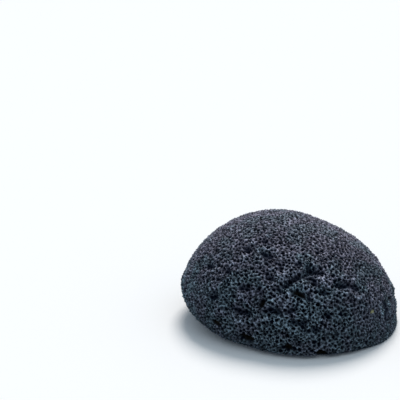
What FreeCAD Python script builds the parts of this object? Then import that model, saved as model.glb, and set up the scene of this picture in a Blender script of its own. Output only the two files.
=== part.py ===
import FreeCAD, Part
import math
import os

import Sketcher

# Konjac sponge: a half-ball bun of one moulded foam that leans along its length on a foot pressed flat.
# Millimetres and degrees. +Z is up, X runs along the length towards the low end, and the origin is on
# the table under the middle of the sponge's outline.

SIZES = (
    ("sponge_width", 74.0, "rim to rim along Y"),
    ("middle_length", 10.0, "straight run along X between the two round ends"),
    ("crown_rise", 32.5, "rim plane up to the crown"),
    ("rim_radius", 8.0, "roundness of the rim between the dome and the underside"),
    ("underside_bulge", 3.0, "how far the middle of the underside hangs below the rim"),
    ("rim_lift", 6.5, "table up to the middle of the rim plane"),
    ("lean_angle", 11.0, "lean of the crown towards +X, degrees"),
    ("fold_length", 11.0, "the longest fold, along its mouth"),
    ("fold_width", 3.6, "mouth of a fold, across"),
    ("fold_depth", 2.0, "the deepest fold"),
    ("pit_length", 7.0, "the largest torn pore, along the rim"),
    ("pit_height", 3.6, "the same, up the wall"),
    ("pit_depth", 1.9, "the same, into the foam"),
    ("hollow_overrun", 0.5, "how far the cut of a fold or pit starts outside the skin"),
    ("cut_overrun", 4.0, "how far the table block runs past the sponge on every side"),
)

# Folds pressed into the front: bearing from +X in degrees, tilt of the skin from upright in degrees, slope
# of the fold in degrees, place on the middle run as a share from -1 to 1, shares of fold_length and
# fold_depth.
FOLD_SHARES = (
    (-81.0, 46.0, 48.0, 1.0, 0.86, 0.85),
    (-68.0, 53.5, 33.0, 1.0, 0.64, 0.70),
    (-70.0, 56.0, -60.0, 1.0, 0.41, 0.60),
    (-61.0, 54.0, 5.0, 1.0, 0.50, 0.65),
    (-73.0, 39.5, -4.0, 1.0, 0.68, 1.00),
    (-38.5, 47.5, -12.0, 1.0, 0.73, 0.75),
    (-55.5, 42.5, -19.0, 1.0, 0.41, 0.65),
    (-27.0, 45.0, -17.0, 1.0, 0.45, 0.40),
    (-90.0, 28.0, 88.0, 0.35, 0.45, 0.75),
    (-86.5, 26.0, 10.0, 1.0, 0.86, 0.85),
    (-75.0, 29.5, 29.0, 1.0, 0.55, 0.45),
    (-90.0, 19.5, 6.0, -0.9, 1.00, 0.75),
    (-109.5, 19.5, 60.0, -1.0, 0.45, 0.45),
    (-51.5, 30.5, -49.0, 1.0, 0.36, 0.55),
    (-69.5, 24.0, 1.0, 1.0, 0.86, 0.40),
    (-108.0, 53.0, 16.0, -1.0, 0.36, 0.40),
    (-90.0, 55.0, 8.0, -0.9, 0.64, 0.40),
    (-100.0, 62.5, 12.0, -1.0, 0.32, 0.35),
    (-90.0, 43.0, 8.0, 0.2, 0.45, 0.50),
    (-127.0, 32.0, 20.0, -1.0, 0.41, 0.35),
    (-92.0, 32.0, 10.0, -1.0, 0.55, 0.45),
    (-2.0, 26.5, 80.0, 1.0, 0.86, 0.45),
)

# Torn pores low on the front and on the low end: bearing and tilt in degrees, place on the middle run as
# a share, then shares of pit_length, pit_height and pit_depth.
PIT_SHARES = (
    (-90.0, -9.0, 0.1, 0.90, 0.94, 1.00),
    (-52.5, 4.0, 1.0, 0.66, 0.78, 0.89),
    (10.5, 30.0, 1.0, 0.46, 0.61, 0.53),
)

# Share of a hollow's length that its floor keeps.
FLOOR_SHARE = 0.4

# Share of a hollow's cutting wedge that has to lie in the foam.
LEAST_BITE_SHARE = 0.2


def make_sheet(doc):
    """The driving dimensions, one to a row, with an alias each."""
    sheet = doc.addObject("Spreadsheet::Sheet", "sizes")
    for row, (alias, value, words) in enumerate(SIZES, start=1):
        sheet.set(f"A{row}", words)
        sheet.set(f"B{row}", str(value))
        sheet.setAlias(f"B{row}", alias)
    doc.recompute()
    return sheet


class Profile:
    """Half the bun's outline: a dome arc, a small rim arc and a flat underside arc that meet smoothly."""

    def __init__(self, sheet):
        self.axis = sheet.middle_length / 2
        self.rim = sheet.rim_radius
        self.reach = sheet.sponge_width / 2 - sheet.rim_radius
        self.rise = sheet.crown_rise
        self.drop = sheet.rim_radius + sheet.underside_bulge
        self.dome = self.cap_radius(self.rise)
        self.underside = self.cap_radius(self.drop)
        self.dome_joint = math.atan2(self.dome - self.rise, self.reach)
        self.underside_joint = math.atan2(self.underside - self.drop, self.reach)

    def cap_radius(self, height):
        """Radius of the arc that crosses the axis at this height and runs smoothly into the rim arc."""
        return (self.reach**2 + height**2 - self.rim**2) / (2 * (height - self.rim))

    def arc(self, across, up, radius, first, last):
        centre = FreeCAD.Vector(self.axis + across, up, 0)
        circle = Part.Circle(centre, FreeCAD.Vector(0, 0, 1), radius)
        return Part.ArcOfCircle(circle, first, last)

    def dome_arc(self):
        return self.arc(0, self.rise - self.dome, self.dome, self.dome_joint, math.pi / 2)

    def rim_arc(self):
        return self.arc(self.reach, 0, self.rim, -self.underside_joint, self.dome_joint)

    def underside_arc(self):
        return self.arc(
            0, self.underside - self.drop, self.underside, -math.pi / 2, -self.underside_joint
        )

    def axis_line(self):
        bottom = FreeCAD.Vector(self.axis, -self.drop, 0)
        return Part.LineSegment(bottom, FreeCAD.Vector(self.axis, self.rise, 0))

    def skin(self, tilt):
        """Distance from the axis and height of the skin whose outward direction has this tilt, in radians."""
        if tilt < self.dome_joint:
            return self.reach + self.rim * math.cos(tilt), self.rim * math.sin(tilt)
        return self.dome * math.cos(tilt), self.rise - self.dome + self.dome * math.sin(tilt)


def bind(sketch, constraint, name, expression):
    """Adds a dimension to the sketch under a name and lets the sheet drive it."""
    index = sketch.addConstraint(constraint)
    sketch.renameConstraint(index, name)
    sketch.setExpression(f"Constraints.{name}", expression)


def make_outline(body, profile):
    """The half outline beside its upright axis, held by the sheet."""
    plane = next(f for f in body.Origin.OriginFeatures if f.Role == "XZ_Plane")
    sketch = body.newObject("Sketcher::SketchObject", "half_outline")
    sketch.AttachmentSupport = (plane, [""])
    sketch.MapMode = "FlatFace"
    dome = sketch.addGeometry(profile.dome_arc(), False)
    rim = sketch.addGeometry(profile.rim_arc(), False)
    underside = sketch.addGeometry(profile.underside_arc(), False)
    edge = sketch.addGeometry(profile.axis_line(), False)
    axis = sketch.addGeometry(profile.axis_line(), True)
    start, end, middle = 1, 2, 3
    origin = (-1, start)
    for joint in (
        Sketcher.Constraint("Tangent", rim, end, dome, start),
        Sketcher.Constraint("Tangent", underside, end, rim, start),
        Sketcher.Constraint("Coincident", edge, start, underside, start),
        Sketcher.Constraint("Coincident", edge, end, dome, end),
        Sketcher.Constraint("Coincident", axis, start, edge, start),
        Sketcher.Constraint("Coincident", axis, end, edge, end),
        Sketcher.Constraint("Vertical", edge),
        Sketcher.Constraint("PointOnObject", dome, middle, edge),
        Sketcher.Constraint("PointOnObject", underside, middle, edge),
        Sketcher.Constraint("PointOnObject", rim, middle, -1),
    ):
        sketch.addConstraint(joint)
    bind(
        sketch,
        Sketcher.Constraint("DistanceX", *origin, edge, start, profile.axis),
        "axis_offset",
        "sizes.middle_length / 2",
    )
    bind(
        sketch,
        Sketcher.Constraint("DistanceX", edge, start, rim, middle, profile.reach),
        "rim_reach",
        "sizes.sponge_width / 2 - sizes.rim_radius",
    )
    bind(sketch, Sketcher.Constraint("Radius", rim, profile.rim), "rim_radius", "sizes.rim_radius")
    bind(
        sketch,
        Sketcher.Constraint("DistanceY", *origin, edge, end, profile.rise),
        "crown_rise",
        "sizes.crown_rise",
    )
    bind(
        sketch,
        Sketcher.Constraint("DistanceY", edge, start, *origin, profile.drop),
        "underside_drop",
        "sizes.rim_radius + sizes.underside_bulge",
    )
    return sketch


def make_bun(doc, sheet, profile):
    """The bun as moulded: a turned round end, a straight middle and the same end again, set down leaning."""
    body = doc.addObject("PartDesign::Body", "moulded_bun")
    sketch = make_outline(body, profile)
    doc.recompute()
    turned = body.newObject("PartDesign::Revolution", "round_end")
    turned.Profile = sketch
    turned.ReferenceAxis = (sketch, ["Axis0"])
    turned.Angle = 180.0
    turned.Midplane = True
    doc.recompute()
    faces = enumerate(turned.Shape.Faces, start=1)
    flat_faces = [f"Face{count}" for count, face in faces if isinstance(face.Surface, Part.Plane)]
    middle = body.newObject("PartDesign::Pad", "straight_middle")
    middle.Profile = (turned, flat_faces)
    middle.setExpression("Length", "sizes.middle_length / 2")
    doc.recompute()
    mirrored = body.newObject("PartDesign::Mirrored", "other_half")
    mirrored.Originals = [turned, middle]
    mirror_plane = next(f for f in body.Origin.OriginFeatures if f.Role == "YZ_Plane")
    mirrored.MirrorPlane = (mirror_plane, [""])
    body.Tip = mirrored
    body.Placement.Rotation = FreeCAD.Rotation(FreeCAD.Vector(0, 1, 0), sheet.lean_angle)
    body.setExpression("Placement.Base.z", "sizes.rim_lift")
    body.setExpression("Placement.Rotation.Angle", "sizes.lean_angle")
    doc.recompute()
    return body


def skin_frame(profile, spot):
    """A frame on the skin of the bun: X along a hollow of the given slope, Y straight into the foam."""
    bearing, tilt, slope, place_share = spot
    turn = math.radians(bearing)
    lift = math.radians(tilt)
    away, height = profile.skin(lift)
    level = FreeCAD.Vector(-math.sin(turn), math.cos(turn), 0)
    outward = FreeCAD.Vector(
        math.cos(lift) * math.cos(turn), math.cos(lift) * math.sin(turn), math.sin(lift)
    )
    along = FreeCAD.Rotation(outward, slope).multVec(level)
    skin = FreeCAD.Vector(
        place_share * profile.axis + away * math.cos(turn), away * math.sin(turn), height
    )
    return FreeCAD.Placement(skin, FreeCAD.Rotation(along, -outward, along.cross(-outward), "XYZ"))


def make_hollow(body, name, frame, length, width, depth):
    """Presses one hollow into the skin: four flat sides that run down to a line along its floor."""
    hollow = body.newObject("PartDesign::SubtractiveWedge", name)
    hollow.Placement = frame
    steep = f"sizes.hollow_overrun / ({depth})"
    long_half = f"({length}) / 2"
    mouth_long = f"{long_half} * (1 + {1 - FLOOR_SHARE} * {steep})"
    mouth_wide = f"({width}) / 2 * (1 + {steep})"
    floor_long = f"{long_half} * {FLOOR_SHARE}"
    for side, sign in (("min", "-"), ("max", "")):
        hollow.setExpression(f"X{side}", f"{sign}({mouth_long})")
        hollow.setExpression(f"Z{side}", f"{sign}({mouth_wide})")
        hollow.setExpression(f"X2{side}", f"{sign}({floor_long})")
    hollow.setExpression("Ymin", "-sizes.hollow_overrun")
    hollow.setExpression("Ymax", depth)
    hollow.Z2min = 0
    hollow.Z2max = 0


def make_hollows(doc, body, profile):
    """The folds across the front and the torn pores below and beside them."""
    for count, fold in enumerate(FOLD_SHARES, start=1):
        bearing, tilt, slope, place_share, long_share, deep_share = fold
        frame = skin_frame(profile, (bearing, tilt, slope, place_share))
        length = f"sizes.fold_length * {long_share}"
        depth = f"sizes.fold_depth * {deep_share}"
        make_hollow(body, f"fold_{count}", frame, length, "sizes.fold_width", depth)
    for count, pit in enumerate(PIT_SHARES, start=1):
        bearing, tilt, place_share, long_share, high_share, deep_share = pit
        frame = skin_frame(profile, (bearing, tilt, 0, place_share))
        length = f"sizes.pit_length * {long_share}"
        height = f"sizes.pit_height * {high_share}"
        depth = f"sizes.pit_depth * {deep_share}"
        make_hollow(body, f"pit_{count}", frame, length, height, depth)
    doc.recompute()


def make_table(doc):
    """The space under the table plane, which the soft underside is pressed flat against."""
    table = doc.addObject("Part::Box", "table_space")
    table.setExpression("Length", "sizes.sponge_width + sizes.middle_length + 2 * sizes.cut_overrun")
    table.setExpression("Width", "sizes.sponge_width + 2 * sizes.cut_overrun")
    table.setExpression("Height", "sizes.sponge_width / 2 + sizes.crown_rise")
    table.setExpression("Placement.Base.x", "-Length / 2")
    table.setExpression("Placement.Base.y", "-Width / 2")
    table.setExpression("Placement.Base.z", "-Height")
    return table


def make_sponge(doc, sheet):
    """The whole sponge: the leaning bun with its folds and pits, less the table's space."""
    profile = Profile(sheet)
    body = make_bun(doc, sheet, profile)
    make_hollows(doc, body, profile)
    sponge = doc.addObject("Part::Cut", "sponge_body")
    sponge.Label = "sponge_body"
    sponge.Base = body
    sponge.Tool = make_table(doc)
    doc.recompute()
    return sponge


def check(doc, subparts):
    """Stops before anything is written if an object failed or a sub-part isn't one sound solid."""
    for item in doc.Objects:
        if "Invalid" in item.State or "Error" in item.State:
            raise RuntimeError(f"{item.Name} failed: {item.State}")
        if item.TypeId == "PartDesign::SubtractiveWedge":
            bite = item.BaseFeature.Shape.Volume - item.Shape.Volume
            if bite < LEAST_BITE_SHARE * item.AddSubShape.Volume:
                raise RuntimeError(f"{item.Name} takes nothing away")
    for item in subparts:
        shape = item.Shape
        if shape.isNull() or not shape.isValid() or len(shape.Solids) != 1:
            raise RuntimeError(f"{item.Label} is not one valid solid")


def main():
    doc = FreeCAD.newDocument("konjac_sponge")
    sheet = make_sheet(doc)
    subparts = [make_sponge(doc, sheet)]
    check(doc, subparts)
    os.makedirs("parts", exist_ok=True)
    for item in subparts:
        item.Shape.exportStep(f"parts/{item.Label}.step")
        box = item.Shape.optimalBoundingBox(False)
        print(item.Label, f"{box.XLength:.2f} x {box.YLength:.2f} x {box.ZLength:.2f} mm")
        print(f"X {box.XMin:.2f} to {box.XMax:.2f}, Z from {box.ZMin:.2f}, {item.Shape.Volume:.0f} mm3")


main()
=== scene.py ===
import math

import bpy
import numpy as np
from mathutils import Matrix, Vector
from mathutils.geometry import delaunay_2d_cdt
from mathutils.noise import noise


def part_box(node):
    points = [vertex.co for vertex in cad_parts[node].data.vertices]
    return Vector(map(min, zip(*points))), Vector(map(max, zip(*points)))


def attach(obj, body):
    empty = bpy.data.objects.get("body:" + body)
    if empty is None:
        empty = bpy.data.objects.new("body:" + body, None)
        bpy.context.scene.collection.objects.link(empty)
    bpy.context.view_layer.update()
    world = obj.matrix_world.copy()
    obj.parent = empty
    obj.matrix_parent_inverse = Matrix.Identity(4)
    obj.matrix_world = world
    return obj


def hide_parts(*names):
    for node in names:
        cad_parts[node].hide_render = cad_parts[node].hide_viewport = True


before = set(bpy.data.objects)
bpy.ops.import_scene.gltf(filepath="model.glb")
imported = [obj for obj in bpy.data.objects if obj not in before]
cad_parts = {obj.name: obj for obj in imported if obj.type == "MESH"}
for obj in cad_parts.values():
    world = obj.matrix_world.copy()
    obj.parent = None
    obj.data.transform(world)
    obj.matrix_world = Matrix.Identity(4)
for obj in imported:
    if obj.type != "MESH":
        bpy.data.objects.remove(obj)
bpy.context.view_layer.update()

# A half-ball konjac sponge with charcoal: one block of open-cell foam, its skin broken by thousands of
# pores, with soft folds across the front. Metres; +Z is up and +X is the low end that the crown leans to.

bl_info = {
    "name": "Konjac sponge",
    "version": (1, 0, 0),
    "blender": (4, 5, 0),
    "location": "3D View > Sidebar > Sponge",
    "description": "Makes a half-ball charcoal konjac sponge with open pores, and a plain studio for it",
    "category": "Object",
}

MM = 0.001
BODY_LOW, BODY_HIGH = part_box("sponge_body")
BODY_WIDTH = BODY_HIGH[1] - BODY_LOW[1]

# A length or a share near nothing, and the chart's far edge, which stands for the middle of the underside.
TINY = 1e-9
CHART_EDGE = 1e9

# Where a mark has no hold any more, as a multiple of half the width.
OUT_OF_REACH = 10

# Folds pressed into the foam; the solid has the main ones too. Bearing from +X and tilt of the skin from
# upright in degrees, slope in degrees, place on the middle run as a share, then length and depth.
FOLDS = (
    (-81.0, 46.0, 48.0, 1.0, 9.5 * MM, 1.7 * MM),
    (-68.0, 53.5, 33.0, 1.0, 7.0 * MM, 1.4 * MM),
    (-70.0, 56.0, -60.0, 1.0, 4.5 * MM, 1.2 * MM),
    (-61.0, 54.0, 5.0, 1.0, 5.5 * MM, 1.3 * MM),
    (-82.0, 57.0, 21.0, 1.0, 3.5 * MM, 0.9 * MM),
    (-73.0, 39.5, -4.0, 1.0, 7.5 * MM, 2.0 * MM),
    (-38.5, 47.5, -12.0, 1.0, 8.0 * MM, 1.5 * MM),
    (-55.5, 42.5, -19.0, 1.0, 4.5 * MM, 1.3 * MM),
    (-27.0, 45.0, -17.0, 1.0, 5.0 * MM, 0.8 * MM),
    (-90.0, 28.0, 88.0, 0.35, 5.0 * MM, 2.0 * MM),
    (-86.5, 26.0, 10.0, 1.0, 9.5 * MM, 1.7 * MM),
    (-75.0, 29.5, 29.0, 1.0, 6.0 * MM, 0.9 * MM),
    (-90.0, 19.5, 6.0, -0.9, 11.0 * MM, 1.5 * MM),
    (-109.5, 19.5, 60.0, -1.0, 5.0 * MM, 0.9 * MM),
    (-51.5, 30.5, -49.0, 1.0, 4.0 * MM, 1.1 * MM),
    (-69.5, 24.0, 1.0, 1.0, 9.5 * MM, 0.8 * MM),
    (-58.0, 22.0, -3.0, 1.0, 4.5 * MM, 0.8 * MM),
    (-108.0, 53.0, 16.0, -1.0, 4.0 * MM, 0.8 * MM),
    (-90.0, 55.0, 8.0, -0.9, 7.0 * MM, 0.8 * MM),
    (-100.0, 62.5, 12.0, -1.0, 3.5 * MM, 0.7 * MM),
    (-90.0, 43.0, 8.0, 0.2, 5.0 * MM, 1.0 * MM),
    (-127.0, 32.0, 20.0, -1.0, 4.5 * MM, 0.7 * MM),
    (-110.0, 36.0, 16.0, -1.0, 4.0 * MM, 0.8 * MM),
    (-92.0, 32.0, 10.0, -1.0, 6.0 * MM, 0.9 * MM),
    (-2.0, 26.5, 80.0, 1.0, 9.5 * MM, 0.6 * MM),
    (33.0, 22.0, 0.0, 1.0, 8.0 * MM, 2.0 * MM),
)

# Torn pores: bearing, tilt and place as above, then length, height and depth.
PITS = (
    (-90.0, -9.0, 0.1, 6.6 * MM, 3.4 * MM, 1.9 * MM),
    (-72.0, 8.0, 1.0, 3.4 * MM, 2.6 * MM, 1.5 * MM),
    (-52.5, 4.0, 1.0, 4.6 * MM, 2.8 * MM, 1.7 * MM),
    (10.5, 30.0, 1.0, 3.2 * MM, 2.2 * MM, 1.0 * MM),
    (-102.0, -4.0, -1.0, 5.0 * MM, 2.2 * MM, 1.3 * MM),
)

# Wide soft swellings and hollows of the form: bearing, tilt and place as above, then reach and height.
LUMPS = (
    (95.0, 70.0, -1.0, 9 * MM, 0.5 * MM),
    (36.0, 64.0, 1.0, 9 * MM, -0.3 * MM),
)

# Puffs all over the foam: how far apart they lie, and how high they stand.
PUFFS = ((12 * MM, 0.3 * MM), (4 * MM, 0.26 * MM))

# Crumpled stretches, where short creases part the foam into small puffs: bearing, tilt and place as above,
# then reach and share of the crumple's depth.
CRUMPLED = (
    (-72.0, 38.0, 0.6, 17 * MM, 1.0),
    (-108.0, 24.0, -1.0, 12 * MM, 0.6),
    (-25.0, 38.0, 1.0, 13 * MM, 0.5),
    (-140.0, 5.0, -1.0, 16 * MM, 0.7),
)

# The crumple: distance between its creases, depth, sharpness, least share elsewhere, and rise of its puffs.
CRUMPLE_SIZE = 3.6 * MM
CRUMPLE_DEPTH = 0.8 * MM
CRUMPLE_EDGE = 0.16
CRUMPLE_LEAST = 0.12
PUFF_RISE = 0.3

# Where noise cuts the creases short: its shift from the creases' own noise, its least share and its gain.
GATE_SHIFT = 40
GATE_LEAST = 0.25
GATE_GAIN = 3

# Section of the folds: half width and sharpness of the crease, how fast it tapers, how it wanders from a
# straight line, and the lips beside it, which rise by a share of the depth and get a painted highlight.
CREASE_WIDTH = 1.2 * MM
CREASE_EDGE = 1.6
CREASE_TAPER = 0.8
CREASE_BITE = 1.15
WANDER = 0.35 * MM
WANDER_RUN = 1.6 * MM
LIP_AWAY = 3.2 * MM
LIP_WIDTH = 1.7 * MM
LIP_RISE = 0.25
LIP_HIGHLIGHT = 0.8

# Section of a torn pore: overrun of its edge, and how steeply its wall and its painted shade fall.
PIT_OVERRUN = 1.1
PIT_WALL = 0.6
PIT_SHADE = 0.5

# Gap between the front's lower lip and the table, darkened with painted shade: the bearing of its middle in
# degrees, how fast it ends to both sides, how high it is, over what height it closes, and how far it runs in.
GAP_BEARING = -80.0
GAP_SPREAD = 1.6
GAP_HEIGHT = 1.2 * MM
GAP_EDGE = 0.6 * MM
GAP_DEPTH = 3.6 * MM

# Folds deeper than this show the foam's brown inside, as the torn pores do.
BROWN_DEPTH = 1.8 * MM

# A straw-coloured bit of plant fibre in the skin: bearing, tilt and place, then how far it reaches.
STRAW = (-17.0, 30.0, 1.0, 0.65 * MM)

# Rounds in which the pores are placed: largest and smallest mouth as a share, and how many tries.
PORE_ROUNDS = ((1.0, 0.6, 2500), (0.7, 0.3, 9000), (0.4, 0.0, 30000))

# Walls between pores beside the middling one: thinnest, widest, and how much wider they get underneath.
THINNEST_WALL = 0.3
WIDEST_WALL = 1.7
UNDERSIDE_WALL = 5.0

# Shallow pores: their share of all pores, and how deep they are beside the others.
FILLED_SHARE = 0.3
FILLED_DEPTH = 0.4

# Form of a pore: stretch of its mouth, width of its throat beside the mouth, how ragged both are, how far
# the mouth sinks, and its painted shade at the mouth. Then least value and spread of what chance decides.
STRETCH = 0.35
THROAT_WIDTH = 0.66
MOUTH_WAVER = 0.5
THROAT_WAVER = 0.3
RING_SLIP = 0.4
MOUTH_SINK = 0.1
MOUTH_SHADE = 0.3
DEPTH_RANGE = (0.7, 0.6)
KNOT_RANGE = (0.1, 1.4)
THREAD_RANGE = (-0.5, 1.3)
MOUTH_RANGE = (0.0, 2.0)
THROAT_RANGE = (0.7, 0.6)

# Threads of the web: how far the larger pore pushes one aside, and the longest one as a share of its chart.
THREAD_PUSH = 0.5
LONGEST_THREAD = 0.5

# Points round a mouth, a throat and the small hole in the middle of the underside.
MOUTH_POINTS = 6
THROAT_POINTS = 4
HOLE_POINTS = 12

# Discs of the bake layout for dome and underside: where the middle is, and how large.
DOME_DISC = (0.345, 0.33)
UNDER_DISC = (0.755, 0.23)

# Shades of the web that follow a layer of the mesh: its name, its stretch, and the factors at both ends.
# The first row is a painted highlight on puffs and fold lips, the last a painted highlight on the web's
# crests and painted shade at the mouths; the tone row is the foam's own random tone.
SHADES = (
    ("puff_highlight", 0.2, 1, 1, 1.95),
    ("tone", 0, 1, 0.45, 1.55),
    ("pore", 0, MOUTH_SHADE, 1.7, 0.7),
)

# Mottles of the web: size and detail of the noise, its stretch, and the factors at both ends.
MOTTLES = (
    (2.6 * MM, 2.0, 0.3, 0.7, 0.72, 1.25),
    (0.8 * MM, 3.0, 0.34, 0.66, 0.12, 1.9),
    (0.4 * MM, 2.0, 0.35, 0.65, 0.35, 1.7),
)

# Patches of the two web colours: size and detail of the noise, its stretch, then how height and puffs
# lean towards the cool one. The lean by height is a painted tint of the light: cooler low down, warmer on
# top.
PATCH_NOISE = (7 * MM, 3.0)
PATCH_STRETCH = (0.41, 0.59)
PATCH_BY_HEIGHT = (6 * MM, 32 * MM, 0.4, -0.4)
PATCH_BY_PUFF = (0.2, 1, 0, 0.5)

# Painted glints on the web, the stretches in which pores and folds turn dark with painted shade, and how
# the deepest marks add.
GLINT_NOISE = (0.8 * MM, 1.0)
GLINT_STRETCH = (0.64, 0.72)
PORE_STRETCH = (0.12, 0.5)
FOLD_STRETCH = (0.12, 0.65, 0, 0.84)
BROWN_STRETCH = (0.3, 0.8, 0, 0.16)

# Fine grain of the surface, its shine, and the floor's.
GRAIN_NOISE = (0.35 * MM, 3.0)
GRAIN_STRENGTH = 0.5
GRAIN_HEIGHT = 0.12 * MM
FOAM_SHINE = 0.12
FLOOR_SHINE = 0.1
FLOOR_ROUGHNESS = 0.9

# Strength of the sky at the horizon and overhead, beside the fill strength.
SKY_LOW = 0.5
SKY_HIGH = 1.3


class SpongeForm(bpy.types.PropertyGroup):
    """Sizes of the bun, as the solid has them."""

    width: bpy.props.FloatProperty(
        name="Width", description="Rim to rim across the sponge", default=BODY_WIDTH, min=0.01, unit="LENGTH"
    )
    middle_length: bpy.props.FloatProperty(
        name="Middle run", description="Straight run between the round ends", default=10 * MM, unit="LENGTH"
    )
    crown_rise: bpy.props.FloatProperty(
        name="Crown rise", description="Rim plane up to the crown", default=32.5 * MM, unit="LENGTH"
    )
    rim_radius: bpy.props.FloatProperty(
        name="Rim radius", description="Roundness of the rim", default=8 * MM, unit="LENGTH"
    )
    underside_bulge: bpy.props.FloatProperty(
        name="Underside bulge",
        description="How far the middle of the underside hangs below the rim",
        default=3 * MM,
        unit="LENGTH",
    )
    rim_lift: bpy.props.FloatProperty(
        name="Rim lift",
        description="Table up to the middle of the rim plane",
        default=6.5 * MM,
        unit="LENGTH",
    )
    lean: bpy.props.FloatProperty(
        name="Lean",
        description="Lean of the crown towards the low end",
        default=math.radians(11),
        subtype="ANGLE",
        unit="ROTATION",
    )


class SpongePores(bpy.types.PropertyGroup):
    """Sizes of the foam's cells."""

    seed: bpy.props.IntProperty(name="Seed", description="Another number places the pores anew", default=7)
    large_mouth: bpy.props.FloatProperty(
        name="Large pore", description="Radius of the largest mouths", default=0.71 * MM, unit="LENGTH"
    )
    small_mouth: bpy.props.FloatProperty(
        name="Small pore", description="Radius of the smallest mouths", default=0.2 * MM, unit="LENGTH"
    )
    wall: bpy.props.FloatProperty(
        name="Wall", description="Middling wall between two mouths", default=0.25 * MM, unit="LENGTH"
    )
    depth: bpy.props.FloatProperty(
        name="Pore depth", description="Depth of a middling pore", default=1.3 * MM, unit="LENGTH"
    )
    web_lift: bpy.props.FloatProperty(
        name="Web lift",
        description="Height of the web's knots over the mouths",
        default=0.4 * MM,
        unit="LENGTH",
    )


class SpongeFinish(bpy.types.PropertyGroup):
    """Colours of the charcoal foam."""

    warm_web: bpy.props.FloatVectorProperty(
        name="Warm web", description="Purple-grey of the web", default=(0.109, 0.108, 0.141), subtype="COLOR"
    )
    cool_web: bpy.props.FloatVectorProperty(
        name="Cool web", description="Green-grey of the web", default=(0.084, 0.112, 0.133), subtype="COLOR"
    )
    # Near black deep in the pores and folds: the charcoal's own dark with painted shade added in the
    # recesses.
    pore_dark_and_shade: bpy.props.FloatVectorProperty(
        name="Pore",
        description="Charcoal deep in the pores",
        default=(0.0006, 0.0045, 0.019),
        subtype="COLOR",
    )
    inside_colour: bpy.props.FloatVectorProperty(
        name="Inside",
        description="Olive brown in the deepest marks",
        default=(0.009, 0.007, 0.003),
        subtype="COLOR",
    )
    # Painted glints: bright specks on the web that stand in for highlights.
    glint_colour: bpy.props.FloatVectorProperty(
        name="Speck", description="Bright dry edges of the web", default=(0.235, 0.25, 0.295), subtype="COLOR"
    )
    straw_colour: bpy.props.FloatVectorProperty(
        name="Straw", description="Bit of plant fibre in the skin", default=(0.62, 0.58, 0.3), subtype="COLOR"
    )
    roughness: bpy.props.FloatProperty(
        name="Roughness", description="Roughness of the foam", default=0.85, min=0, max=1, subtype="FACTOR"
    )


class StudioSettings(bpy.types.PropertyGroup):
    """Floor, light and camera."""

    floor_size: bpy.props.FloatProperty(
        name="Floor", description="Side of the floor", default=6.0, unit="LENGTH"
    )
    floor_colour: bpy.props.FloatVectorProperty(
        name="Floor colour",
        description="Pale floor as it is seen",
        default=(0.99, 0.99, 0.99),
        subtype="COLOR",
    )
    bounce_colour: bpy.props.FloatVectorProperty(
        name="Bounce colour",
        description="Pale floor as it lights the foam",
        default=(0.18, 0.22, 0.26),
        subtype="COLOR",
    )
    glow_colour: bpy.props.FloatVectorProperty(
        name="Glow colour",
        description="Lift that brings the floor to white",
        default=(0.008, 0.012, 0.018),
        subtype="COLOR",
    )
    key_strength: bpy.props.FloatProperty(
        name="Key light", description="Strength of the soft key light", default=2.32
    )
    fill_strength: bpy.props.FloatProperty(
        name="Fill light", description="Strength of the light from all round", default=0.48
    )
    key_angle: bpy.props.FloatProperty(
        name="Key size",
        description="How wide the key light looks, which softens its shadow",
        default=math.radians(26),
        subtype="ANGLE",
        unit="ROTATION",
    )
    key_colour: bpy.props.FloatVectorProperty(
        name="Key colour", description="Colour of the key light", default=(1.0, 0.945, 0.9), subtype="COLOR"
    )
    key_towards: bpy.props.FloatVectorProperty(
        name="Key direction",
        description="Way the key light shines",
        default=(0.28, -0.76, -1.06),
        subtype="XYZ",
    )
    sky_colour: bpy.props.FloatVectorProperty(
        name="Sky colour", description="Colour of the fill light", default=(0.77, 0.9, 1.0), subtype="COLOR"
    )
    camera_place: bpy.props.FloatVectorProperty(
        name="Camera place",
        description="Where the camera stands",
        default=(240.94 * MM, -523.08 * MM, 246.0 * MM),
        subtype="TRANSLATION",
        unit="LENGTH",
    )
    camera_pitch: bpy.props.FloatProperty(
        name="Camera pitch",
        description="How far the camera looks down",
        default=math.radians(19.06),
        subtype="ANGLE",
        unit="ROTATION",
    )
    camera_turn: bpy.props.FloatProperty(
        name="Camera turn",
        description="Turn of the camera about the upright axis",
        default=math.radians(28.12),
        subtype="ANGLE",
        unit="ROTATION",
    )
    lens: bpy.props.FloatProperty(
        name="Lens", description="Focal length in millimetres", default=146.07, unit="CAMERA"
    )


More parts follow.
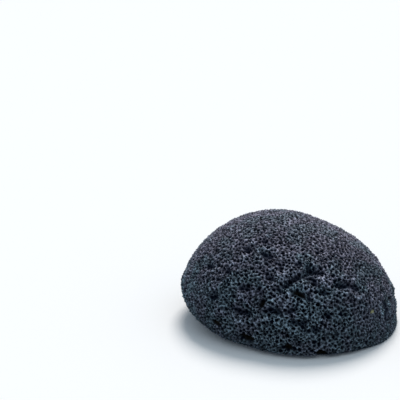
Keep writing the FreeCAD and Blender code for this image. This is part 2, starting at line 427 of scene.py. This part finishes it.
class Bun:
    """The bun's smooth skin: three arcs, dome, rim and underside, turned round the ends of a straight middle.

    A chart lays the whole skin out flat without changing its angles: the crown is at the chart's middle
    and the underside spreads far out round it. Points of the chart are turned into places on the skin.
    """

    # Step along the profile, radius of the hole that is closed last, softness of the foot's edge, and how far
    # down the skin faces, in radians, where the layout's underside and the wider walls begin.
    STEP = 0.05 * MM
    HOLE = 1.5 * MM
    PRESS = 1.2 * MM
    RIM_TILT = 0.35
    FOOT_TILT = 1.0

    def __init__(self, form):
        self.form = form
        half = form.width / 2
        rim = form.rim_radius
        reach = half - rim
        drop = rim + form.underside_bulge
        dome = self.cap_radius(reach, rim, form.crown_rise)
        under = self.cap_radius(reach, rim, drop)
        dome_joint = math.atan2(dome - form.crown_rise, reach)
        under_joint = math.atan2(under - drop, reach)
        arcs = (
            (0, form.crown_rise - dome, dome, math.pi / 2, dome_joint),
            (reach, 0, rim, dome_joint, -under_joint),
            (0, under - drop, under, -under_joint, -math.pi / 2),
        )
        tilts, aways, heights = [], [], []
        for away, height, radius, first, last in arcs:
            count = int(radius * (first - last) / self.STEP)
            tilt = np.linspace(first, last, count, endpoint=False)
            tilts.append(tilt)
            aways.append(away + radius * np.cos(tilt))
            heights.append(height + radius * np.sin(tilt))
        self.tilt = np.concatenate(tilts)[1:]
        self.away = np.concatenate(aways)[1:]
        self.height = np.concatenate(heights)[1:]
        self.half = half
        self.reach = reach
        self.rim = rim
        self.dome = dome
        self.dome_joint = dome_joint
        steps = np.hypot(np.diff(self.away), np.diff(self.height))
        self.run = np.concatenate([[0], np.cumsum(steps)])
        middles = (self.away[1:] + self.away[:-1]) / 2
        self.spread = np.concatenate([[0], np.cumsum(steps / middles)])
        self.last = np.nonzero(self.away > self.HOLE)[0][-1]
        self.bearing_up = np.arctan2(self.height, self.away)[::-1]
        self.far_up = np.hypot(self.away, self.height)[::-1]
        self.tilt_up = self.tilt[::-1]
        self.rim_run = float(np.interp(self.RIM_TILT, -self.tilt, self.run))
        self.foot_run = float(np.interp(self.FOOT_TILT, -self.tilt, self.run))

    @staticmethod
    def cap_radius(reach, rim, height):
        """Radius of the arc that crosses the axis at this height and runs smoothly into the rim arc."""
        return (reach**2 + height**2 - rim**2) / (2 * (height - rim))

    def chart_radius(self, run):
        """How far out on the chart the points at this run from the crown lie."""
        return np.exp(np.interp(run, self.run, self.spread))

    def run_of(self, chart):
        """Run along the profile from the crown to each point of the chart."""
        far = np.maximum(np.hypot(chart[:, 0], chart[:, 1]), TINY)
        return np.interp(np.log(far), self.spread, self.run)

    def scale_of(self, chart):
        """Chart length that one metre of skin takes up, at each point."""
        away = np.interp(self.run_of(chart), self.run, self.away)
        return np.maximum(np.hypot(chart[:, 0], chart[:, 1]), 1.0) / away

    def skin(self, chart):
        """Places and outward directions on the skin for points of the chart, before the bun leans."""
        run = self.run_of(chart)
        away = np.interp(run, self.run, self.away)
        height = np.interp(run, self.run, self.height)
        turn = np.arctan2(chart[:, 1], chart[:, 0])
        middle = self.form.middle_length / 2
        x = away * np.cos(turn) * (self.half + middle) / self.half
        y = away * np.sin(turn)
        return self.settle(np.stack([x, y, height], 1))

    def settle(self, points):
        """Moves points near the skin onto it; returns them with the outward directions there."""
        middle = self.form.middle_length / 2
        x, y, height = points.T
        core = np.clip(x, -middle, middle)
        side = x - core
        flat = np.maximum(np.hypot(side, y), TINY)
        bearing = np.arctan2(height, flat)
        far = np.interp(bearing, self.bearing_up, self.far_up)
        tilt = np.interp(bearing, self.bearing_up, self.tilt_up)
        away = far * np.cos(bearing)
        placed = np.stack([core + side / flat * away, y / flat * away, far * np.sin(bearing)], 1)
        outward = np.stack([np.cos(tilt) * side / flat, np.cos(tilt) * y / flat, np.sin(tilt)], 1)
        outward /= np.linalg.norm(outward, axis=1)[:, None]
        return placed, outward

    def spot(self, bearing, tilt, place):
        """Place and outward direction for a bearing and a tilt in degrees and a place on the middle run."""
        turn = math.radians(bearing)
        lift = math.radians(tilt)
        if lift < self.dome_joint:
            away = self.reach + self.rim * math.cos(lift)
            height = self.rim * math.sin(lift)
        else:
            away = self.dome * math.cos(lift)
            height = self.form.crown_rise - self.dome + self.dome * math.sin(lift)
        middle = place * self.form.middle_length / 2
        at = np.array([middle + away * math.cos(turn), away * math.sin(turn), height])
        outward = np.array(
            [math.cos(lift) * math.cos(turn), math.cos(lift) * math.sin(turn), math.sin(lift)]
        )
        return at, outward

    def lean(self, points):
        """Sets the bun down: leans it, lifts its rim plane and presses flat what would be under the table."""
        cos = math.cos(self.form.lean)
        sin = math.sin(self.form.lean)
        x, y, z = points.T
        set_down = np.stack([cos * x + sin * z, y, cos * z - sin * x + self.form.rim_lift], 1)
        low = set_down[:, 2]
        set_down[:, 2] = (low + np.sqrt(low**2 + self.PRESS**2)) / 2
        return set_down


class Cells:
    """A grid of boxes that finds near neighbours among points that are added one by one."""

    def __init__(self, size):
        self.size = size
        self.boxes = {}

    def near(self, point):
        """The points, each with its radius, in the box of this point and in those round it."""
        a, b, c = (int(v // self.size) for v in point)
        for i in (a - 1, a, a + 1):
            for j in (b - 1, b, b + 1):
                for k in (c - 1, c, c + 1):
                    yield from self.boxes.get((i, j, k), ())

    def add(self, point, radius):
        """Puts a point with its radius into its box."""
        key = tuple(int(v // self.size) for v in point)
        self.boxes.setdefault(key, []).append((*point, radius))


def scatter(bun, random, count):
    """Random points of the chart, spread evenly over the skin."""
    area = np.concatenate([[0], np.cumsum(np.diff(bun.run) * bun.away[1:])])
    area = area[: bun.last]
    run = np.interp(random.random(count) * area[-1], area, bun.run[: bun.last])
    turn = random.random(count) * 2 * math.pi
    far = bun.chart_radius(run)
    return np.stack([far * np.cos(turn), far * np.sin(turn)], 1)


def place_pores(bun, pores, random):
    """Centres of the pores on the chart and radii of their mouths: large ones first, then ever smaller."""
    cells = Cells(2 * pores.large_mouth + WIDEST_WALL * pores.wall * UNDERSIDE_WALL)
    centres, mouths = [], []
    span = pores.large_mouth - pores.small_mouth
    for high, low, count in PORE_ROUNDS:
        chart = scatter(bun, random, count)
        skin = bun.skin(chart)[0]
        sizes = pores.small_mouth + span * (low + (high - low) * random.random(count))
        walls = pores.wall * (THINNEST_WALL + (WIDEST_WALL - THINNEST_WALL) * random.random(count))
        walls = np.where(bun.run_of(chart) > bun.foot_run, UNDERSIDE_WALL * walls, walls)
        for at, point, size, wall in zip(chart, skin.tolist(), sizes.tolist(), walls.tolist()):
            x, y, z = point
            for u, v, w, other in cells.near(point):
                least = size + other + wall
                if (x - u) ** 2 + (y - v) ** 2 + (z - w) ** 2 < least * least:
                    break
            else:
                cells.add(point, size)
                centres.append(at)
                mouths.append(size)
    return np.array(centres), np.array(mouths)


def triangles_of(chart):
    """Triangles between points of the chart, each as square as can be."""
    flat = [Vector(point) for point in chart.tolist()]
    found = delaunay_2d_cdt(flat, [], [], 0, TINY, False)
    if len(found[0]) != len(flat):
        raise RuntimeError("two points of the skin fell together")
    return np.array(found[2])


def ring_of(bun, random, centres, radii, stretch, count, waver):
    """A ragged ring of chart points round each centre, longer one way than the other."""
    step = 2 * math.pi / count
    turn = random.random((len(centres), 1)) * step + np.arange(count) * step
    turn = turn + (random.random(turn.shape) - 0.5) * RING_SLIP * step
    size = radii[:, None] * (1 + waver * (random.random(turn.shape) - 0.5))
    size = size * bun.scale_of(centres)[:, None]
    ratio, way = stretch
    along = size * np.cos(turn) * ratio[:, None]
    across = size * np.sin(turn) / ratio[:, None]
    cos = np.cos(way)[:, None]
    sin = np.sin(way)[:, None]
    ring = centres[:, None, :] + np.stack([along * cos - across * sin, along * sin + across * cos], 2)
    return ring.reshape(-1, 2)


def web_points(centres, mouths):
    """The web between pores: its knots, one in each triangle of pores, and the middles of its threads."""
    faces = triangles_of(centres)
    far = np.hypot(*centres.T)
    knots = centres[faces].mean(1)
    edges = np.concatenate([faces[:, [0, 1]], faces[:, [1, 2]], faces[:, [2, 0]]])
    edges = np.unique(np.sort(edges, 1), axis=0)
    share = (mouths[edges[:, 0]] / mouths[edges].sum(1))[:, None]
    first = centres[edges[:, 0]]
    second = centres[edges[:, 1]]
    room = np.linalg.norm(second - first, axis=1)
    threads = first + (second - first) * (0.5 + THREAD_PUSH * (share - 0.5))
    widest = far[edges].max(1)
    keep = room < LONGEST_THREAD * widest
    return knots, threads[keep]


def add_folds(bun, points):
    """What the marks do to each point: lift, painted shade in a mark, painted highlight on puffs and lips,
    brown.
    """
    press = np.zeros(len(points))
    shade = np.zeros(len(points))
    lip_highlight = np.zeros(len(points))
    brown = np.zeros(len(points))
    for bearing, tilt, slope, place, length, depth in FOLDS:
        along, across = along_and_across(bun, points, bearing, tilt, slope, place)
        taper = np.clip(1 - (2 * along / length) ** 2, 0, 1) ** CREASE_TAPER
        bend = across - WANDER * np.sin(along / WANDER_RUN + bearing)
        crease = np.exp(-((np.abs(bend) / CREASE_WIDTH) ** CREASE_EDGE))
        lips = np.exp(-(((np.abs(bend) - LIP_AWAY) / LIP_WIDTH) ** 2))
        press -= depth * taper * (CREASE_BITE * crease - LIP_RISE * lips)
        shade = np.maximum(shade, taper * crease)
        lip_highlight = np.maximum(lip_highlight, LIP_HIGHLIGHT * taper * lips)
        if depth > BROWN_DEPTH:
            brown = np.maximum(brown, taper * crease)
    for bearing, tilt, place, length, height, depth in PITS:
        along, across = along_and_across(bun, points, bearing, tilt, 0, place)
        inside = np.clip(PIT_OVERRUN - (2 * along / length) ** 2 - (2 * across / height) ** 2, 0, 1)
        press -= depth * inside**PIT_WALL
        shade = np.maximum(shade, inside**PIT_SHADE)
        brown = np.maximum(brown, inside**PIT_SHADE)
    lift, crease, puff_highlight = add_crumple(bun, points)
    return press + lift, np.maximum(shade, crease), np.maximum(puff_highlight, lip_highlight), brown


def noise_at(points):
    """Smooth noise at each point."""
    return np.array([noise(Vector(point)) for point in points.tolist()])


def add_crumple(bun, points):
    """Small puffs between short creases: each point's lift, and how deep in a crease (painted shade) and how
    high up the puffs (painted highlight) it is.
    """
    share = np.full(len(points), CRUMPLE_LEAST)
    for bearing, tilt, place, reach, strength in CRUMPLED:
        at = bun.spot(bearing, tilt, place)[0]
        share = np.maximum(share, strength * np.exp(-(((points - at) / reach) ** 2).sum(1)))
    cells = noise_at(points / CRUMPLE_SIZE)
    gates = np.clip(GATE_LEAST + GATE_GAIN * noise_at(points / CRUMPLE_SIZE + GATE_SHIFT), 0, 1)
    crease = np.exp(-((cells / CRUMPLE_EDGE) ** 2)) * gates
    return CRUMPLE_DEPTH * share * (PUFF_RISE - crease), share * crease, share * (1 - crease)


def along_and_across(bun, points, bearing, tilt, slope, place):
    """Distances of the points along and across a mark on the skin; far off where they lie round the back."""
    at, outward = bun.spot(bearing, tilt, place)
    turn = math.radians(bearing)
    level = np.array([-math.sin(turn), math.cos(turn), 0])
    upward = np.cross(outward, level)
    lift = math.radians(slope)
    ahead = level * math.cos(lift) + upward * math.sin(lift)
    beside = np.cross(outward, ahead)
    apart = points - at
    behind = apart @ outward < -bun.half / 2
    return np.where(behind, OUT_OF_REACH * bun.half, apart @ ahead), apart @ beside


def add_lumps(bun, points):
    """How far the swellings, hollows and puffs of the form lift each point out of the smooth skin."""
    lift = np.zeros(len(points))
    for bearing, tilt, place, reach, height in LUMPS:
        at = bun.spot(bearing, tilt, place)[0]
        lift += height * np.exp(-(((points - at) / reach) ** 2).sum(1))
    for size, height in PUFFS:
        lift += height * noise_at(points / size)
    return lift


def vary(random, count, least, spread):
    """Random values from the least one upwards, over the given spread."""
    return least + spread * random.random(count)


def open_gap(places, outward):
    """Draws the foot in under the front lip; returns how deep in that gap each point lies, which becomes
    painted shade.
    """
    turn = math.radians(GAP_BEARING)
    facing = outward[:, :2] @ np.array([math.cos(turn), math.sin(turn)])
    facing = facing / np.maximum(np.hypot(outward[:, 0], outward[:, 1]), TINY)
    front = np.clip(1 - GAP_SPREAD * (1 - facing), 0, 1)
    gap = front * np.clip((GAP_HEIGHT - places[:, 2]) / GAP_EDGE, 0, 1)
    places[:, :2] -= outward[:, :2] * (GAP_DEPTH * gap)[:, None]
    return gap


def on_straw(bun, skin):
    """Which points lie on the bit of plant fibre."""
    bearing, tilt, place, reach = STRAW
    return np.linalg.norm(skin - bun.spot(bearing, tilt, place)[0], axis=1) < reach


def skin_points(bun, pores, random):
    """Points of the pored skin: their chart, their lift out of the bun, and how deep in a pore they lie."""
    centres, mouths = place_pores(bun, pores, random)
    knots, threads = web_points(centres, mouths)
    stretch = (1 + STRETCH * random.random(len(mouths)), random.random(len(mouths)) * math.pi)
    mouth = ring_of(bun, random, centres, mouths, stretch, MOUTH_POINTS, MOUTH_WAVER)
    throat = ring_of(bun, random, centres, mouths * THROAT_WIDTH, stretch, THROAT_POINTS, THROAT_WAVER)
    hole_turn = np.arange(HOLE_POINTS) / HOLE_POINTS * 2 * math.pi
    hole = bun.chart_radius(bun.run[bun.last]) * np.stack([np.cos(hole_turn), np.sin(hole_turn)], 1)
    filled = np.where(random.random(len(mouths)) < FILLED_SHARE, FILLED_DEPTH, 1.0)
    by_size = (1 + mouths / mouths.mean()) / 2
    deep = filled * pores.depth * by_size * vary(random, len(mouths), *DEPTH_RANGE)
    lift = np.concatenate(
        [
            pores.web_lift * vary(random, len(knots), *KNOT_RANGE),
            pores.web_lift * vary(random, len(threads), *THREAD_RANGE),
            np.repeat(-MOUTH_SINK * deep, MOUTH_POINTS) * vary(random, len(mouth), *MOUTH_RANGE),
            np.repeat(-deep, THROAT_POINTS) * vary(random, len(throat), *THROAT_RANGE),
            np.zeros(len(hole)),
        ]
    )
    pore = np.concatenate(
        [
            np.zeros(len(knots) + len(threads)),
            np.full(len(mouth), MOUTH_SHADE),
            np.repeat(filled, THROAT_POINTS),
            np.zeros(len(hole)),
        ]
    )
    return np.concatenate([knots, threads, mouth, throat, hole]), lift, pore


def foam_points(form, pores):
    """The bun, then chart and place of all points of its skin, and the layers that the finish reads."""
    random = np.random.default_rng(pores.seed)
    bun = Bun(form)
    chart, lift, pore = skin_points(bun, pores, random)
    tone = random.random(len(chart))
    skin, outward = bun.skin(chart)
    press, painted_shade, puff_highlight, brown = add_folds(bun, skin)
    places = bun.lean(skin + outward * (lift + press + add_lumps(bun, skin))[:, None])
    # The gap under the front lip adds a painted contact shadow to the shade layer.
    painted_shade = np.maximum(painted_shade, open_gap(places, outward))
    layers = {"pore": pore, "painted_shade": painted_shade, "puff_highlight": puff_highlight, "brown": brown, "tone": tone}
    layers["straw"] = on_straw(bun, skin)
    return bun, chart, places, layers


def foam_mesh(form, pores):
    """The foam as a closed mesh with its pores, and values for the finish to read."""
    bun, chart, places, layers = foam_points(form, pores)
    faces = triangles_of(chart)
    hub = len(chart)
    ring = np.arange(hub - HOLE_POINTS, hub)
    cap = np.stack([np.full(HOLE_POINTS, hub), np.roll(ring, -1), ring], 1)
    places = np.concatenate([places, places[ring].mean(0)[None]])
    faces = np.concatenate([faces, cap])
    mesh = bpy.data.meshes.new("sponge_foam")
    mesh.from_pydata(places.tolist(), [], faces.tolist())
    mesh.validate()
    for name, values in layers.items():
        layer = mesh.attributes.new(name, "FLOAT", "POINT")
        layer.data.foreach_set("value", np.append(values, 0).astype(np.float32))
    mesh.polygons.foreach_set("use_smooth", np.ones(len(mesh.polygons), dtype=bool))
    lay_out(mesh, bun, np.concatenate([chart, [[CHART_EDGE, 0]]]))
    mesh.update()
    return mesh


def lay_out(mesh, bun, chart):
    """Lays the skin out on two discs, dome and underside, for the finish to be baked on."""
    run = bun.run_of(chart)
    turn = np.arctan2(chart[:, 1], chart[:, 0])
    corners = np.empty(len(mesh.loops), dtype=np.int32)
    mesh.loops.foreach_get("vertex_index", corners)
    on_dome = run[corners].reshape(-1, 3).mean(1) < bun.rim_run
    on_dome = np.repeat(on_dome, 3)
    dome_far = DOME_DISC[1] * run[corners] / bun.rim_run
    under_far = UNDER_DISC[1] * (bun.run[-1] - run[corners]) / (bun.run[-1] - bun.rim_run)
    far = np.where(on_dome, dome_far, under_far)
    middle = np.where(on_dome, DOME_DISC[0], UNDER_DISC[0])
    across = np.stack([middle + far * np.cos(turn[corners]), middle + far * np.sin(turn[corners])], 1)
    layer = mesh.uv_layers.new(name="OFBake")
    layer.uv.foreach_set("vector", across.astype(np.float32).ravel())


class Nodes:
    """Short names for making and joining shader nodes."""

    def __init__(self, tree):
        self.tree = tree

    def new(self, kind, **settings):
        """A new node of this kind with the given settings."""
        node = self.tree.nodes.new(kind)
        for name, value in settings.items():
            setattr(node, name, value)
        return node

    def join(self, source, target):
        """Joins an output to an input."""
        self.tree.links.new(source, target)

    def put(self, value, target):
        """Joins a socket to the target, or sets a fixed number or colour on it."""
        if isinstance(value, bpy.types.NodeSocket):
            self.join(value, target)
        elif isinstance(value, (int, float)):
            target.default_value = value
        else:
            target.default_value = (*value, 1)

    def noise(self, where, size, detail=2.0):
        """Noise whose patches are about the given size across."""
        node = self.new("ShaderNodeTexNoise")
        node.inputs["Scale"].default_value = 1 / size
        node.inputs["Detail"].default_value = detail
        self.join(where, node.inputs["Vector"])
        return node.outputs["Fac"]

    def layer(self, name):
        """A layer of values on the mesh."""
        return self.new("ShaderNodeAttribute", attribute_name=name).outputs["Fac"]

    def shade(self, colour, share, first, last):
        """The colour times a factor that goes from first to last with the share."""
        return self.mix(1, colour, self.mix(share, [first] * 3, [last] * 3), "MULTIPLY")

    def add(self, first, second):
        """The sum of two values, kept between 0 and 1."""
        node = self.new("ShaderNodeMath", operation="ADD", use_clamp=True)
        self.put(first, node.inputs[0])
        self.put(second, node.inputs[1])
        return node.outputs["Value"]

    def span(self, value, low, high, first=0.0, last=1.0):
        """The value's stretch from low to high, laid out from first to last."""
        node = self.new("ShaderNodeMapRange")
        for socket, number in zip(("From Min", "From Max", "To Min", "To Max"), (low, high, first, last)):
            node.inputs[socket].default_value = number
        self.join(value, node.inputs["Value"])
        return node.outputs["Result"]

    def mix(self, share, first, second, blend="MIX"):
        """Mixes two colours, each a socket or a fixed colour."""
        node = self.new("ShaderNodeMix", data_type="RGBA", blend_type=blend)
        sockets = {s.identifier: s for s in node.inputs}
        self.put(share, sockets["Factor_Float"])
        for name, colour in (("A_Color", first), ("B_Color", second)):
            self.put(colour, sockets[name])
        return next(s for s in node.outputs if s.identifier == "Result_Color")


def foam_finish(finish):
    """Dry charcoal foam: a mottled grey web with painted highlights and painted glints, black pores, and
    painted shade in pores, folds and the gap under the front lip.
    """
    material = bpy.data.materials.new("konjac_foam")
    material.use_nodes = True
    material.node_tree.nodes.clear()
    nodes = Nodes(material.node_tree)
    where = nodes.new("ShaderNodeTexCoord").outputs["Object"]
    place = nodes.new("ShaderNodeSeparateXYZ")
    nodes.join(where, place.inputs["Vector"])
    patch = nodes.span(nodes.noise(where, *PATCH_NOISE), *PATCH_STRETCH)
    # Painted light tint: the web leans cool low down and warm on top.
    patch = nodes.add(patch, nodes.span(place.outputs["Z"], *PATCH_BY_HEIGHT))
    patch = nodes.add(patch, nodes.span(nodes.layer("puff_highlight"), *PATCH_BY_PUFF))
    web = nodes.mix(patch, finish.warm_web, finish.cool_web)
    # Painted highlight on puffs, fold lips and web crests, and painted shade at the pore mouths.
    for name, low, high, first, last in SHADES:
        web = nodes.shade(web, nodes.span(nodes.layer(name), low, high), first, last)
    for size, detail, low, high, first, last in MOTTLES:
        web = nodes.shade(web, nodes.span(nodes.noise(where, size, detail), low, high), first, last)
    # Painted glints: bright specks mixed into the web.
    web = nodes.mix(nodes.span(nodes.noise(where, *GLINT_NOISE), *GLINT_STRETCH), web, finish.glint_colour)
    # Pores darken towards near black: the charcoal's own dark and painted shade in the recess.
    colour = nodes.mix(nodes.span(nodes.layer("pore"), *PORE_STRETCH), web, finish.pore_dark_and_shade)
    # Folds, torn pores, crumple creases and the gap under the front lip darken towards near black with
    # painted shade; the deepest marks turn the foam's own olive brown.
    brown = nodes.layer("brown")
    depths = nodes.mix(brown, finish.pore_dark_and_shade, finish.inside_colour)
    shaded = nodes.add(nodes.span(nodes.layer("painted_shade"), *FOLD_STRETCH), nodes.span(brown, *BROWN_STRETCH))
    colour = nodes.mix(shaded, colour, depths)
    colour = nodes.mix(nodes.layer("straw"), colour, finish.straw_colour)
    shader = nodes.new("ShaderNodeBsdfPrincipled")
    shader.inputs["Roughness"].default_value = finish.roughness
    shader.inputs["Specular IOR Level"].default_value = FOAM_SHINE
    nodes.join(colour, shader.inputs["Base Color"])
    bump = nodes.new("ShaderNodeBump")
    bump.inputs["Strength"].default_value = GRAIN_STRENGTH
    bump.inputs["Distance"].default_value = GRAIN_HEIGHT
    nodes.join(nodes.noise(where, *GRAIN_NOISE), bump.inputs["Height"])
    nodes.join(bump.outputs["Normal"], shader.inputs["Normal"])
    output = nodes.new("ShaderNodeOutputMaterial")
    nodes.join(shader.outputs["BSDF"], output.inputs["Surface"])
    return material


def floor_finish(settings):
    """A pale floor that shows white round the shadow, and throws little light back on the foam."""
    material = bpy.data.materials.new("pale_floor")
    material.use_nodes = True
    material.node_tree.nodes.clear()
    nodes = Nodes(material.node_tree)
    path = nodes.new("ShaderNodeLightPath")
    mirrored = nodes.add(path.outputs["Is Glossy Ray"], path.outputs["Is Transmission Ray"])
    seen = nodes.add(path.outputs["Is Camera Ray"], mirrored)
    shader = nodes.new("ShaderNodeBsdfPrincipled")
    shader.inputs["Roughness"].default_value = FLOOR_ROUGHNESS
    shader.inputs["Specular IOR Level"].default_value = FLOOR_SHINE
    nodes.join(
        nodes.mix(seen, settings.bounce_colour, settings.floor_colour), shader.inputs["Base Color"]
    )
    shader.inputs["Emission Color"].default_value = (*settings.glow_colour, 1)
    nodes.join(seen, shader.inputs["Emission Strength"])
    output = nodes.new("ShaderNodeOutputMaterial")
    nodes.join(shader.outputs["BSDF"], output.inputs["Surface"])
    return material


class SPONGE_OT_make_body(bpy.types.Operator):
    """Make the sponge's foam body"""

    bl_idname = "sponge.make_body"
    bl_label = "Make foam body"

    def execute(self, context):
        settings = context.scene
        mesh = foam_mesh(settings.sponge_form, settings.sponge_pores)
        mesh.materials.append(foam_finish(settings.sponge_finish))
        body = bpy.data.objects.new("sponge_foam", mesh)
        context.scene.collection.objects.link(body)
        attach(body, "root")
        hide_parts("sponge_body")
        print("foam:", len(mesh.vertices), "points,", len(mesh.polygons), "triangles")
        return {"FINISHED"}


class SPONGE_OT_make_studio(bpy.types.Operator):
    """Make the floor, the light and the camera"""

    bl_idname = "sponge.make_studio"
    bl_label = "Make studio"

    def execute(self, context):
        settings = context.scene.studio
        self.make_floor(context, settings)
        self.make_light(context, settings)
        self.make_camera(context, settings)
        context.scene.view_settings.view_transform = "Standard"
        return {"FINISHED"}

    def make_floor(self, context, settings):
        """A wide floor at table height."""
        side = settings.floor_size / 2
        mesh = bpy.data.meshes.new("floor")
        corners = [(-side, -side, 0), (side, -side, 0), (side, side, 0), (-side, side, 0)]
        mesh.from_pydata(corners, [], [(0, 1, 2, 3)])
        mesh.materials.append(floor_finish(settings))
        floor = bpy.data.objects.new("floor", mesh)
        context.scene.collection.objects.link(floor)

    def make_light(self, context, settings):
        """A soft key light from behind, and a sky that is brighter overhead."""
        lamp = bpy.data.lights.new("key_light", "SUN")
        lamp.energy = settings.key_strength
        lamp.angle = settings.key_angle
        lamp.color = settings.key_colour
        key = bpy.data.objects.new("key_light", lamp)
        towards = Vector(settings.key_towards)
        key.rotation_euler = towards.to_track_quat("-Z", "Y").to_euler()
        context.scene.collection.objects.link(key)
        world = bpy.data.worlds.new("studio_light")
        world.use_nodes = True
        sky = world.node_tree.nodes["Background"]
        sky.inputs["Color"].default_value = (*settings.sky_colour, 1)
        nodes = Nodes(world.node_tree)
        where = nodes.new("ShaderNodeSeparateXYZ")
        nodes.join(nodes.new("ShaderNodeTexCoord").outputs["Generated"], where.inputs["Vector"])
        fill = settings.fill_strength
        strength = nodes.span(where.outputs["Z"], 0, 1, SKY_LOW * fill, SKY_HIGH * fill)
        nodes.join(strength, sky.inputs["Strength"])
        context.scene.world = world

    def make_camera(self, context, settings):
        """The camera, turned and pitched as the photograph was taken."""
        lens = bpy.data.cameras.new("camera")
        lens.lens = settings.lens
        camera = bpy.data.objects.new("camera", lens)
        turn = Matrix.Rotation(settings.camera_turn, 4, "Z")
        look = Matrix.Rotation(math.pi / 2 - settings.camera_pitch, 4, "X")
        camera.matrix_world = Matrix.Translation(settings.camera_place) @ turn @ look
        context.scene.collection.objects.link(camera)
        context.scene.camera = camera


class SPONGE_PT_panel(bpy.types.Panel):
    """Sizes, colours and makers of the sponge"""

    bl_idname = "SPONGE_PT_panel"
    bl_label = "Konjac sponge"
    bl_space_type = "VIEW_3D"
    bl_region_type = "UI"
    bl_category = "Sponge"

    def draw(self, context):
        layout = self.layout
        for name in GROUPS:
            group = getattr(context.scene, name)
            box = layout.box()
            box.label(text=group.bl_rna.description)
            for key in group.__annotations__:
                box.prop(group, key)
        layout.operator(SPONGE_OT_make_body.bl_idname)
        layout.operator(SPONGE_OT_make_studio.bl_idname)


GROUPS = {
    "sponge_form": SpongeForm,
    "sponge_pores": SpongePores,
    "sponge_finish": SpongeFinish,
    "studio": StudioSettings,
}
CLASSES = (*GROUPS.values(), SPONGE_OT_make_body, SPONGE_OT_make_studio, SPONGE_PT_panel)


def register():
    """Adds the settings, the operators and the panel to Blender."""
    for made in CLASSES:
        bpy.utils.register_class(made)
    for name, group in GROUPS.items():
        setattr(bpy.types.Scene, name, bpy.props.PointerProperty(type=group))


def unregister():
    """Takes them out again."""
    for name in GROUPS:
        delattr(bpy.types.Scene, name)
    for made in reversed(CLASSES):
        bpy.utils.unregister_class(made)


def main():
    """Makes the sponge and its studio; making the body prints how many points and triangles the foam has."""
    register()
    bpy.ops.sponge.make_body()
    bpy.ops.sponge.make_studio()


if __name__ == "__main__":
    main()
